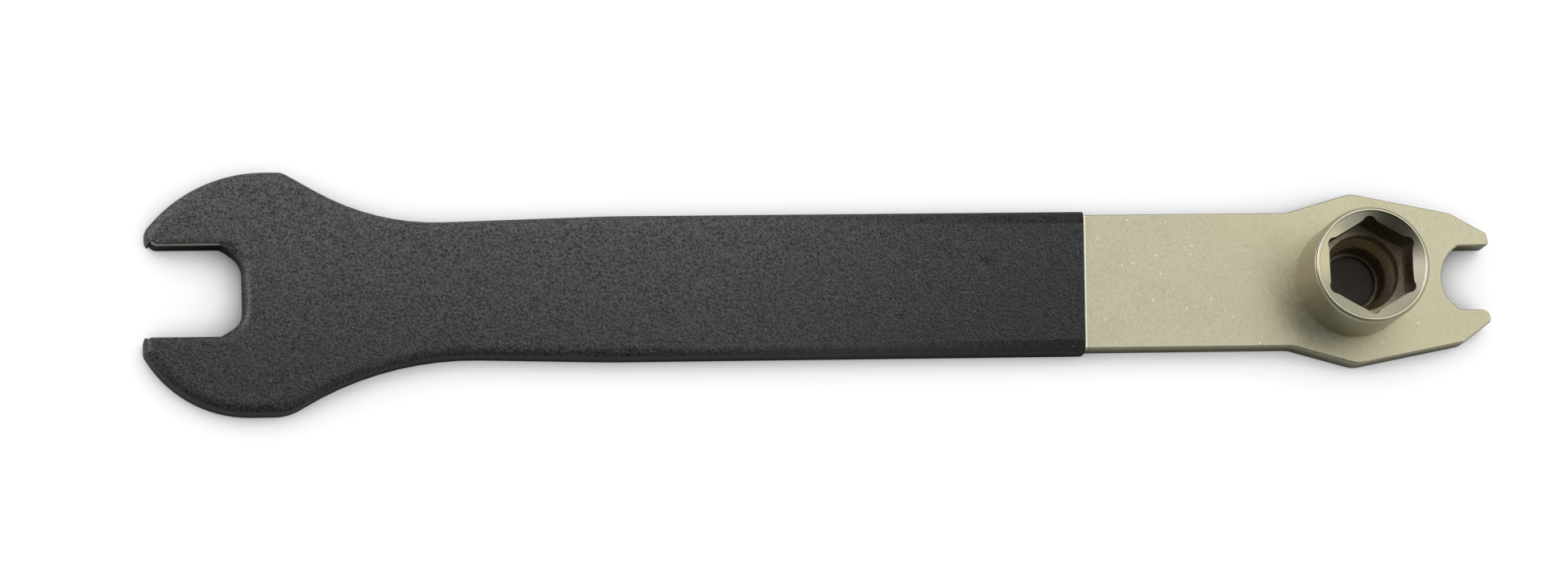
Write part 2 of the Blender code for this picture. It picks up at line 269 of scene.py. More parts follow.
def addSpecks(tree, place, look):
    # small round specks: one to a cell of the given width, and only in a share of the cells
    width = look["speckMm"]
    cell = look["speckEveryMm"]
    cells = addNode(tree, "ShaderNodeTexVoronoi", {}, {"Vector": place, "Scale": mmPerMetre / cell})
    dice = addNode(tree, "ShaderNodeSeparateColor", {}, {"Color": cells.outputs["Color"]})
    size = addNode(tree, "ShaderNodeMath", {"operation": "MULTIPLY_ADD"}, {
        0: dice.outputs["Green"], 1: width / cell, 2: speck["smallest"] * width / cell})
    outwards = addNode(tree, "ShaderNodeMath", {"operation": "DIVIDE"}, {
        0: cells.outputs["Distance"], 1: size.outputs[0]})
    spot = addNode(tree, "ShaderNodeMapRange", {}, {
        "Value": outwards.outputs[0], "From Min": 1.0, "From Max": speck["core"]})
    chosen = addNode(tree, "ShaderNodeMath", {"operation": "LESS_THAN"}, {
        0: dice.outputs["Red"], 1: look["speckShare"]})
    return addNode(tree, "ShaderNodeMath", {"operation": "MULTIPLY"}, {
        0: spot.outputs["Result"], 1: chosen.outputs[0]}).outputs[0]


# The steel bar's finishes

# the bright colour is used for painted glints, painted highlights on the jaws' bare edges, and the pale line
# by the coat's end
steelLook = {
    "colour": "C3BEA0", "pale": "CDC8AB", "dark": "B3AE92", "bright": "F1EEDF",
    "darkAt": 0.42, "colourAt": 0.675, "paleAt": 0.93,
    "roughness": 0.44, "roughnessSpread": 0.04, "bump": 0.2, "bumpDepth": 0.00004,
    "grainMm": 0.42, "cloudMm": 12.0, "cloudShare": 0.35,
    "speckEveryMm": 1.5, "speckMm": 0.14, "speckShare": 0.6,
    "lineMm": 0.36, "lineFade": 1.25, "lineShare": 0.9, "underCoat": 0.001,
}


def paleLineAndPaintedShine(tree, place):
    # near-white share: painted glints, a pale line by the coat's cut end, and painted highlights on the
    # jaws' bare edges
    paintedGlints = addSpecks(tree, place, steelLook)
    split = addNode(tree, "ShaderNodeSeparateXYZ", {}, {"Vector": place})
    along = addNode(tree, "ShaderNodeMath", {"operation": "MULTIPLY_ADD"}, {
        0: split.outputs["Y"], 1: -coat["endSlant"] / bar["halfWidth"], 2: split.outputs["X"]})
    lineWidth = steelLook["lineMm"] / mmPerMetre
    line = addNode(tree, "ShaderNodeMapRange", {}, {
        "Value": along.outputs[0], "From Min": coat["end"] + lineWidth * steelLook["lineFade"],
        "From Max": coat["end"] + lineWidth, "To Max": steelLook["lineShare"]})
    brighter = addNode(tree, "ShaderNodeMath", {"operation": "MAXIMUM"}, {
        0: paintedGlints, 1: line.outputs["Result"]})
    pastCoat = addNode(tree, "ShaderNodeMath", {"operation": "GREATER_THAN"}, {
        0: along.outputs[0], 1: coat["end"] - steelLook["underCoat"]})
    clean = addNode(tree, "ShaderNodeMath", {"operation": "MULTIPLY"}, {
        0: brighter.outputs[0], 1: pastCoat.outputs[0]})
    # painted highlight: the jaws' bare steel edges are made near-white, as if they caught the light
    bareEdgeHighlight = addNode(tree, "ShaderNodeMath", {"operation": "LESS_THAN"}, {
        0: split.outputs["X"], 1: jaws["tip"] + jaws["depth"]})
    return addNode(tree, "ShaderNodeMath", {"operation": "MAXIMUM"}, {
        0: clean.outputs[0], 1: bareEdgeHighlight.outputs[0]}).outputs[0]


def makeSatinNickel():
    # Satin nickel plate over bead-blasted steel: a warm grey metal with a fine, even grain and painted
    # glints.
    # The real grain is about 0.1 mm. It is drawn four times as coarse, so that it shows.
    material, tree = newMaterial("satinNickelPlate")
    place = addNode(tree, "ShaderNodeTexCoord", {}, {}).outputs["Object"]
    grain = addNode(tree, "ShaderNodeTexNoise", {}, {
        "Vector": place, "Scale": mmPerMetre / steelLook["grainMm"], "Detail": 2.0, "Roughness": 0.6})
    cloud = addNode(tree, "ShaderNodeTexNoise", {}, {
        "Vector": place, "Scale": mmPerMetre / steelLook["cloudMm"], "Detail": 3.0, "Roughness": 0.6})
    mottle = addNode(tree, "ShaderNodeMath", {"operation": "MULTIPLY_ADD"}, {
        0: cloud.outputs["Fac"], 1: steelLook["cloudShare"], 2: grain.outputs["Fac"]})
    tint = addNode(tree, "ShaderNodeValToRGB", {}, {"Fac": mottle.outputs[0]})
    stops = tint.color_ramp.elements
    stops[0].position = steelLook["darkAt"]
    stops[0].color = linear(steelLook["dark"])
    stops[1].position = steelLook["paleAt"]
    stops[1].color = linear(steelLook["pale"])
    stops.new(steelLook["colourAt"]).color = linear(steelLook["colour"])
    # the plate is mixed towards the bright colour where the painted glints, the pale line and the painted
    # edge highlights fall
    finish = addNode(tree, "ShaderNodeMix", {"data_type": "RGBA"}, {
        "Factor": paleLineAndPaintedShine(tree, place), mixA: tint.outputs["Color"], mixB: linear(steelLook["bright"])})
    rough = addNode(tree, "ShaderNodeMapRange", {}, {
        "Value": grain.outputs["Fac"], "From Min": noiseLow, "From Max": noiseHigh,
        "To Min": steelLook["roughness"] - steelLook["roughnessSpread"],
        "To Max": steelLook["roughness"] + steelLook["roughnessSpread"]})
    bump = addNode(tree, "ShaderNodeBump", {}, {
        "Height": grain.outputs["Fac"], "Strength": steelLook["bump"], "Distance": steelLook["bumpDepth"]})
    shader = addNode(tree, "ShaderNodeBsdfPrincipled", {}, {
        "Base Color": finish.outputs[mixed], "Metallic": 1.0,
        "Roughness": rough.outputs["Result"], "Normal": bump.outputs["Normal"]})
    addNode(tree, "ShaderNodeOutputMaterial", {}, {"Surface": shader.outputs["BSDF"]})
    return material


darkFlatsPaintedLook = {
    "dark": "141413", "pale": "24231F", "darkAt": 0.3, "paleAt": 0.75,
    "roughness": 0.6, "specular": 0.3, "grainMm": 0.5,
}


def makeDarkFlatsPainted():
    # Bare ground steel on the jaw flats, painted nearly black as a painted dark reflection, with hardly any
    # shine.
    # Real grinding marks are about 0.1 mm wide. They are drawn coarser, so that they show.
    material, tree = newMaterial("groundSteelPaintedDark")
    place = addNode(tree, "ShaderNodeTexCoord", {}, {}).outputs["Object"]
    grain = addNode(tree, "ShaderNodeTexNoise", {}, {
        "Vector": place, "Scale": mmPerMetre / darkFlatsPaintedLook["grainMm"], "Detail": 3.0, "Roughness": 0.6})
    tint = addNode(tree, "ShaderNodeValToRGB", {}, {"Fac": grain.outputs["Fac"]})
    stops = tint.color_ramp.elements
    stops[0].position = darkFlatsPaintedLook["darkAt"]
    stops[0].color = linear(darkFlatsPaintedLook["dark"])
    stops[1].position = darkFlatsPaintedLook["paleAt"]
    stops[1].color = linear(darkFlatsPaintedLook["pale"])
    shader = addNode(tree, "ShaderNodeBsdfPrincipled", {}, {
        "Base Color": tint.outputs["Color"], "Roughness": darkFlatsPaintedLook["roughness"],
        "Specular IOR Level": darkFlatsPaintedLook["specular"]})
    addNode(tree, "ShaderNodeOutputMaterial", {}, {"Surface": shader.outputs["BSDF"]})
    return material


# The steel bar

def buildBar():
    edge = bar["edgeRadius"]
    piece = loftedPlate("steelBar", barOutline(), bar["bottom"], bar["top"], edge, edge, bar["edgeSteps"])
    bpy.ops.mesh.primitive_cylinder_add(
        vertices=bar["holeSides"], radius=bar["holeRadius"], depth=bar["drillLength"],
        location=(bar["socketX"], 0, bar["drillMiddle"]))
    cutAway(piece, bpy.context.object)
    piece.data.materials.clear()
    piece.data.materials.append(satinNickel)
    piece.data.materials.append(darkFlatsPainted)
    # the jaw flats take the near-black finish, a painted dark reflection
    throatX = jaws["tip"] + jaws["depth"]
    for face in piece.data.polygons:
        inMouth = abs(face.center.y) < jaws["halfGap"] + jaws["upper"]["mouthRadius"]
        if face.center.x < throatX and inMouth and abs(face.normal.z) < jaws["sideLean"]:
            face.material_index = 1
    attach(piece, "root")
    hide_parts("wrench_bar")


# The dipped coat

# the head and end colours and the side factors carry painted light and painted shade
coatLook = {
    "head": "474842", "end": "292926", "headX": -0.030, "endX": 0.055,
    "farSideLit": 1.08, "nearSideShaded": 0.48, "halfWidth": 0.014,
    "skinLow": 0.40, "skinHigh": 0.85, "skinDark": 0.20, "skinPale": 1.80,
    "roughness": 0.38, "specular": 0.35, "bump": 0.8, "bumpDepth": 0.00014,
    "grainMm": 0.40, "poreMm": 1.1, "poreShare": 0.25,
    "speck": "6A6A64", "speckEveryMm": 1.2, "speckMm": 0.15, "speckShare": 0.5,
}


def makeDippedPlastic():
    # Dipped soft plastic, cured in air: near-black and matt, with a fine pebbled skin and pale specks of
    # dust. Painted light: paler towards the head and the far side, darker towards the end and the near side.
    # Its pebbles are about 0.2 mm, and are drawn twice as coarse, so that they show.
    material, tree = newMaterial("dippedSoftPlastic")
    place = addNode(tree, "ShaderNodeTexCoord", {}, {}).outputs["Object"]
    grain = addNode(tree, "ShaderNodeTexNoise", {}, {
        "Vector": place, "Scale": mmPerMetre / coatLook["grainMm"], "Detail": 1.0, "Roughness": 0.6})
    pores = addNode(tree, "ShaderNodeTexNoise", {}, {
        "Vector": place, "Scale": mmPerMetre / coatLook["poreMm"], "Detail": 2.0, "Roughness": 0.6})
    skin = addNode(tree, "ShaderNodeMath", {"operation": "MULTIPLY_ADD"}, {
        0: pores.outputs["Fac"], 1: coatLook["poreShare"], 2: grain.outputs["Fac"]})
    split = addNode(tree, "ShaderNodeSeparateXYZ", {}, {"Vector": place})
    along = addNode(tree, "ShaderNodeMapRange", {"interpolation_type": "SMOOTHSTEP"}, {
        "Value": split.outputs["X"], "From Min": coatLook["endX"], "From Max": coatLook["headX"]})
    # painted light: paler towards the head, darker towards the end
    paintedLightAlong = addNode(tree, "ShaderNodeMix", {"data_type": "RGBA"}, {
        "Factor": along.outputs["Result"], mixA: linear(coatLook["end"]), mixB: linear(coatLook["head"])})
    shade = addNode(tree, "ShaderNodeMapRange", {}, {
        "Value": skin.outputs[0], "From Min": coatLook["skinLow"], "From Max": coatLook["skinHigh"],
        "To Min": coatLook["skinDark"], "To Max": coatLook["skinPale"]})
    # painted shade: darker on the near side, paler on the far side
    paintedShadeAcross = addNode(tree, "ShaderNodeMapRange", {}, {
        "Value": split.outputs["Y"], "From Min": -coatLook["halfWidth"], "From Max": coatLook["halfWidth"],
        "To Min": coatLook["nearSideShaded"], "To Max": coatLook["farSideLit"]})
    both = addNode(tree, "ShaderNodeMath", {"operation": "MULTIPLY"}, {
        0: shade.outputs["Result"], 1: paintedShadeAcross.outputs["Result"]})
    skinTone = addNode(tree, "ShaderNodeVectorMath", {"operation": "SCALE"}, {
        0: paintedLightAlong.outputs[mixed], "Scale": both.outputs[0]})
    finish = addNode(tree, "ShaderNodeMix", {"data_type": "RGBA"}, {
        "Factor": addSpecks(tree, place, coatLook), mixA: skinTone.outputs["Vector"],
        mixB: linear(coatLook["speck"])})
    bump = addNode(tree, "ShaderNodeBump", {}, {
        "Height": skin.outputs[0], "Strength": coatLook["bump"], "Distance": coatLook["bumpDepth"]})
    shader = addNode(tree, "ShaderNodeBsdfPrincipled", {}, {
        "Base Color": finish.outputs[mixed], "Roughness": coatLook["roughness"],
        "Specular IOR Level": coatLook["specular"], "Normal": bump.outputs["Normal"]})
    addNode(tree, "ShaderNodeOutputMaterial", {}, {"Surface": shader.outputs["BSDF"]})
    return material


coat = {
    "thickness": 0.00065, "edgeWidth": 0.0021, "edgeDrop": 0.0019, "edgeSteps": 16, "edgePower": 2.4,
    "end": 0.0432, "endSlant": 0.0003, "beyondEnd": 0.006, "coreBeyond": 0.01, "coreFit": 0.00001,
    "mouthSweep": math.radians(58), "mouthSteps": 8,
    "dimple": (0.0267, 0.0027), "dimpleRadius": 0.0015, "dimpleDepth": 0.00020,
    "dimpleSteps": 8, "dimpleRings": 10, "dimpleSides": 48,     # two rings more than steps clear the skin
}

trim = {
    "bottom": -0.002, "top": 0.009, "reach": 0.03,
    "throatMargin": 0.0002, "throatRun": 0.0016, "throatDrop": 0.0011,
    "beyondTip": 0.01, "tipDrop": 0.001,
}


def jawTrim():
    # what the coat leaves bare: the jaw flats, a hair of their edges and the start of each mouth corner
    throatX = jaws["tip"] + jaws["depth"] - jaws["throatRadius"] + trim["throatMargin"]
    sweep = coat["mouthSweep"]
    sides = []
    for side, setback in ((jaws["upper"], jaws["upperSetback"]), (jaws["lower"], 0.0)):
        gap = jaws["halfGap"] + side["bareEdge"]
        mouth = side["mouthRadius"]
        reach = mouth - side["bareEdge"]
        centreX = jaws["tip"] + setback + mouth
        centreY = jaws["halfGap"] + mouth
        edge = [(throatX + trim["throatRun"], gap - trim["throatDrop"], 0.0), (throatX, gap, 0.0)]
        for step in range(coat["mouthSteps"] + 1):
            angle = sweep * step / coat["mouthSteps"]
            edge.append((centreX - reach * math.sin(angle), centreY - reach * math.cos(angle), 0.0))
        edge.append((centreX - 2 * mouth * math.sin(sweep), centreY - 2 * mouth * math.cos(sweep), 0.0))
        edge.append((jaws["tip"] - trim["beyondTip"], gap - trim["tipDrop"], 0.0))
        sides.append(edge)
    return loftedPlate("jawTrim", sides[0] + mirrored(sides[1]), trim["bottom"], trim["top"])


def endTrim():
    # all that lies beyond the coat's end, which is cut a little aslant
    end = coat["end"]
    reach = trim["reach"]
    lean = coat["endSlant"] / bar["halfWidth"] * reach
    corners = [(end - lean, -reach, 0.0), (end + reach, -reach, 0.0),
               (end + reach, reach, 0.0), (end + lean, reach, 0.0)]
    return loftedPlate("endTrim", corners, trim["bottom"], trim["top"])


def dimpleBowl():
    # the shallow round mark in the coat near its end, as a closed bowl to cut away
    x, y = coat["dimple"]
    top = bar["top"] + coat["thickness"]
    sides = coat["dimpleSides"]
    work = bmesh.new()
    rings = []
    for step in range(1, coat["dimpleRings"] + 1):
        part = step / coat["dimpleSteps"]
        z = top + coat["dimpleDepth"] * (part * part - 1)
        reach = coat["dimpleRadius"] * part
        rings.append([work.verts.new((x + reach * math.cos(a), y + reach * math.sin(a), z))
                      for a in (math.tau * i / sides for i in range(sides))])
    for low, high in zip(rings, rings[1:]):
        for i in range(sides):
            j = (i + 1) % sides
            work.faces.new((low[j], low[i], high[i], high[j])).smooth = True
    work.faces.new(rings[0]).smooth = True
    work.faces.new(rings[-1])
    bmesh.ops.recalc_face_normals(work, faces=work.faces)
    return objectFrom(work, "dimpleBowl")


def buildCoat():
    # the steel's outline grown by the skin, less the steel, the jaw flats, the end and the dimple
    startX = coat["end"] + coat["beyondEnd"]
    thick = coat["thickness"]
    steel = handleOutline(startX)
    grown = []
    for i in range(len(steel)):
        before, here, after = (Vector(steel[(i + k) % len(steel)][:2]) for k in (-1, 0, 1))
        moved, turn = pushedOut(before, here, after, thick)
        radius = steel[i][2]
        if radius > 0:
            radius += thick if turn > 0 else -thick
        grown.append((*moved, radius))
    piece = loftedPlate("dippedCoat", grown, 0.0, bar["top"] + thick,
                        coat["edgeWidth"], coat["edgeDrop"], coat["edgeSteps"], coat["edgePower"])
    core = loftedPlate("coatInside", handleOutline(startX + coat["coreBeyond"]),
                       bar["bottom"] - coat["coreFit"], bar["top"] + coat["coreFit"])
    for cutter in (core, jawTrim(), endTrim(), dimpleBowl()):
        cutAway(piece, cutter)
    piece.data.materials.clear()
    piece.data.materials.append(dippedPlastic)
    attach(piece, "root")
    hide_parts("handle_coating")


# The socket, turned and broached in a node tree

turnedLook = {
    "colour": "C3BEA0", "bead": "CBC6AC", "beadHighlightFrom": 0.00014, "beadHighlightFull": 0.00006,     # below the rim
    "roughness": 0.30, "bump": 0.18, "bumpDepth": 0.00004,
    "grainMm": 0.35, "ringMm": 2.2, "ringShare": 0.35, "waveRadians": 20,
}


def makeTurnedNickel():
    # The same plate over turned steel: smoother, with faint rings left by the lathe tool, and a bead
    # round the mouth, painted paler as a highlight. Real rings are finer. These are as coarse as they need
    # to show.
    material, tree = newMaterial("satinNickelOnTurnedSteel")
    place = addNode(tree, "ShaderNodeTexCoord", {}, {}).outputs["Object"]
    grain = addNode(tree, "ShaderNodeTexNoise", {}, {
        "Vector": place, "Scale": mmPerMetre / turnedLook["grainMm"], "Detail": 2.0, "Roughness": 0.5})
    waveMetres = math.tau / turnedLook["waveRadians"]       # what a wave of scale 1 takes for one ring
    rings = addNode(tree, "ShaderNodeTexWave", {"wave_type": "BANDS", "bands_direction": "Z"}, {
        "Vector": place, "Scale": waveMetres * mmPerMetre / turnedLook["ringMm"],
        "Distortion": 1.2, "Detail": 2.0, "Detail Scale": 1.5})
    height = addNode(tree, "ShaderNodeMath", {"operation": "MULTIPLY_ADD"}, {
        0: rings.outputs["Fac"], 1: turnedLook["ringShare"], 2: grain.outputs["Fac"]})
    bump = addNode(tree, "ShaderNodeBump", {}, {
        "Height": height.outputs[0], "Strength": turnedLook["bump"], "Distance": turnedLook["bumpDepth"]})
    split = addNode(tree, "ShaderNodeSeparateXYZ", {}, {"Vector": place})
    # painted highlight: the top of the bead is mixed towards a paler colour
    bead = addNode(tree, "ShaderNodeMapRange", {}, {
        "Value": split.outputs["Z"], "From Min": socket["rim"] - turnedLook["beadHighlightFrom"],
        "From Max": socket["rim"] - turnedLook["beadHighlightFull"]})
    finish = addNode(tree, "ShaderNodeMix", {"data_type": "RGBA"}, {
        "Factor": bead.outputs["Result"], mixA: linear(turnedLook["colour"]),
        mixB: linear(turnedLook["bead"])})
    shader = addNode(tree, "ShaderNodeBsdfPrincipled", {}, {
        "Base Color": finish.outputs[mixed], "Metallic": 1.0, "Roughness": turnedLook["roughness"],
        "Normal": bump.outputs["Normal"]})
    addNode(tree, "ShaderNodeOutputMaterial", {}, {"Surface": shader.outputs["BSDF"]})
    return material


insidePaintedShadeLook = {
    "dark": "5F5543", "pale": "877B64", "drilledDark": "A59A82", "drilledPale": "CCC0A4",
    "roughness": 0.40, "drilledRoughness": 0.55, "boreShare": 0.75, "bump": 0.2, "bumpDepth": 0.00005,
    "grainMm": 0.5, "streak": 0.12, "margin": 0.0001,
}


def makeBroachedSteel():
    # Broached and drilled steel inside the socket, where the plate is thin: duller, with streaks along the
    # broach's way. Its darker, browner colour is painted shade in the recess. The relief and the conical
    # floor are painted less dark, and the bore a little darker than them. Real streaks are finer. These are
    # as coarse as they need to show.
    material, tree = newMaterial("broachedSteelPaintedShade")
    place = addNode(tree, "ShaderNodeTexCoord", {}, {}).outputs["Object"]
    drawn = addNode(tree, "ShaderNodeMapping", {}, {
        "Vector": place, "Scale": (1.0, 1.0, insidePaintedShadeLook["streak"])})
    grain = addNode(tree, "ShaderNodeTexNoise", {}, {
        "Vector": drawn.outputs["Vector"], "Scale": mmPerMetre / insidePaintedShadeLook["grainMm"],
        "Detail": 3.0, "Roughness": 0.6})
    hexFloor = socket["rim"] - socket["broachDepth"]
    floorFall = (socket["relief"] - socket["bore"]) * socket["floorSlope"]
    boreTop = socket["rim"] - socket["reliefDepth"] - floorFall
    split = addNode(tree, "ShaderNodeSeparateXYZ", {}, {"Vector": place})
    underHex = addNode(tree, "ShaderNodeMath", {"operation": "LESS_THAN"}, {
        0: split.outputs["Z"], 1: hexFloor + insidePaintedShadeLook["margin"]})
    overBore = addNode(tree, "ShaderNodeMath", {"operation": "GREATER_THAN"}, {
        0: split.outputs["Z"], 1: boreTop - insidePaintedShadeLook["margin"]})
    paler = addNode(tree, "ShaderNodeMapRange", {}, {
        "Value": overBore.outputs[0], "To Min": insidePaintedShadeLook["boreShare"]})
    below = addNode(tree, "ShaderNodeMath", {"operation": "MULTIPLY"}, {
        0: underHex.outputs[0], 1: paler.outputs["Result"]})
    even = addNode(tree, "ShaderNodeMapRange", {}, {
        "Value": grain.outputs["Fac"], "From Min": noiseLow, "From Max": noiseHigh})
    # painted shade: the broached walls darkest, the drilled relief and floor less dark
    broached, drilled = [addNode(tree, "ShaderNodeMix", {"data_type": "RGBA"}, {
        "Factor": even.outputs["Result"], mixA: linear(insidePaintedShadeLook[dark]), mixB: linear(insidePaintedShadeLook[pale])})
        for dark, pale in (("dark", "pale"), ("drilledDark", "drilledPale"))]
    tone = addNode(tree, "ShaderNodeMix", {"data_type": "RGBA"}, {
        "Factor": below.outputs[0], mixA: broached.outputs[mixed], mixB: drilled.outputs[mixed]})
    rough = addNode(tree, "ShaderNodeMapRange", {}, {
        "Value": below.outputs[0], "To Min": insidePaintedShadeLook["roughness"],
        "To Max": insidePaintedShadeLook["drilledRoughness"]})
    bump = addNode(tree, "ShaderNodeBump", {}, {
        "Height": grain.outputs["Fac"], "Strength": insidePaintedShadeLook["bump"],
        "Distance": insidePaintedShadeLook["bumpDepth"]})
    shader = addNode(tree, "ShaderNodeBsdfPrincipled", {}, {
        "Base Color": tone.outputs[mixed], "Metallic": 1.0, "Roughness": rough.outputs["Result"],
        "Normal": bump.outputs["Normal"]})
    addNode(tree, "ShaderNodeOutputMaterial", {}, {"Surface": shader.outputs["BSDF"]})
    return material


socket = {
    "rim": 0.01955, "outer": 0.00975, "edgeReach": 0.000216, "edgeDrop": 0.00080, "edgeSteps": 9,
    "bead": 0.00917, "beadReach": 0.00025, "beadRise": 0.00020, "beadSteps": 8,
    "groove": [(-0.00003, -0.00022), (0.00003, -0.00020)],      # from the land's radius and the bead's foot
    "land": 0.00948, "landDrop": 0.00027, "landCorner": 0.00005,
    "coneSlope": 0.45, "relief": 0.0064, "reliefDepth": 0.0116, "reliefChamfer": 0.0001,
    "floorSlope": 1.0, "bore": 0.00505, "boreChamfer": 0.00015, "shank": 0.0070, "shankChamfer": 0.00015,
    "footChamfer": 0.0002, "lip": 0.0046, "lipHeight": 0.0006, "lipChamfer": 0.00012,
    "acrossFlats": 0.0141, "cornerReach": 0.0001, "cornerRadius": 0.00115,
    "cornerTurn": math.radians(24), "cornerBlend": 0.0015,
    "broachDepth": 0.0086, "insideRadius": 0.0084, "wallLean": 0.5, "ledgeMargin": 0.0001,
    "pathRadius": 0.02, "turnSteps": 256, "blendSteps": 6, "crispAngle": math.radians(28),
}


def socketProfile():
    # radius and height, down the outer wall, in under the shoulder, and up the stepped bore
    outer, shank, bore, relief, lip = (socket[k] for k in ("outer", "shank", "bore", "relief", "lip"))
    coneTop = socket["rim"] - socket["beadRise"]
    landTop = socket["rim"] - socket["landDrop"]
    floor = socket["rim"] - socket["reliefDepth"]
    mouth = socket["bead"] - socket["beadReach"]
    back = bar["bottom"]
    foot, end, step, seat = (socket[k] for k in ("footChamfer", "shankChamfer", "boreChamfer", "lipChamfer"))
    profile = []
    for i in range(socket["beadSteps"] + 1):
        angle = math.pi * (1 - i / socket["beadSteps"])
        profile.append((socket["bead"] + socket["beadReach"] * math.cos(angle),
                        coneTop + socket["beadRise"] * math.sin(angle)))
    profile += [(socket["land"] + paintedShadeAcross, coneTop + up) for paintedShadeAcross, up in socket["groove"]]
    profile.append((socket["land"] + socket["landCorner"], landTop))
    for i in range(1, socket["edgeSteps"] + 1):
        angle = math.pi / 2 * (1 - i / socket["edgeSteps"])
        profile.append((outer - socket["edgeReach"] * (1 - math.cos(angle)),
                        landTop - socket["edgeDrop"] * (1 - math.sin(angle))))
    profile += [
        (outer, bar["top"] + foot), (outer - foot, bar["top"]), (shank, bar["top"]),
        (shank, back + end), (shank - end, back),
        (lip + seat, back), (lip, back + seat), (lip, back + socket["lipHeight"]),
        (bore, back + socket["lipHeight"]),
        (bore, floor - (relief - bore) * socket["floorSlope"] - step),
        (bore + step, floor - (relief - bore - step) * socket["floorSlope"]),
        (relief - socket["reliefChamfer"], floor - socket["reliefChamfer"]), (relief, floor),
        (relief, coneTop - (mouth - relief) * socket["coneSlope"]),
    ]
    return profile


def broachOutline():
    # the hexagon's corners with their fillets: each corner runs out into a rounded relief
    sharp = socket["acrossFlats"] / math.sqrt(3)
    halfTip = math.pi / 3 - socket["cornerTurn"]
    point = sharp + socket["cornerReach"] + socket["cornerRadius"] * (1 / math.sin(halfTip) - 1)
    flatSlope, sideSlope = math.tan(math.pi / 3), math.tan(halfTip)
    along = (sharp * flatSlope - point * sideSlope) / (flatSlope - sideSlope)
    beside = (sharp - along) * flatSlope
    corners = []
    for side in range(6):
        angle = math.pi / 2 + math.pi / 3 * side
        out = Vector((math.cos(angle), math.sin(angle)))
        left = Vector((-out.y, out.x))
        corners.append((*(out * along - left * beside), socket["cornerBlend"]))
        corners.append((*(out * point), socket["cornerRadius"]))
        corners.append((*(out * along + left * beside), socket["cornerBlend"]))
    return corners


